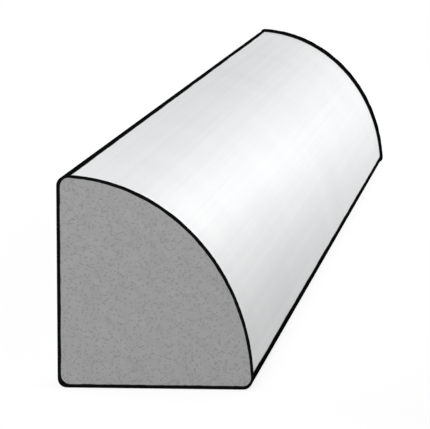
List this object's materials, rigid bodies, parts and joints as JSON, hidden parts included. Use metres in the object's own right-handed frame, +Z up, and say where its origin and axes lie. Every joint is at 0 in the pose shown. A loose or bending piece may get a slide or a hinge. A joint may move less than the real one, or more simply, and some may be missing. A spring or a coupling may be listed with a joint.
{
  "type": "quarter round moulding",
  "caption": "Straight length of quarter round trim: two flat faces at a right angle, joined by a convex quarter curve, to close the corner between floor and wall.",
  "frame": {"origin": "middle of the rectangle that the piece covers on the floor, half way along its length", "axes": "+Y along the length, +Z up, -X towards the wall; the floor face looks along -Z and the wall face along -X"},
  "size_m": [0.0175, 0.2032, 0.019],
  "materials": {
    "moulding": "satin"
  },
  "bodies": {
    "root": {"quarter_round": "moulding"}
  },
  "joints": []
}
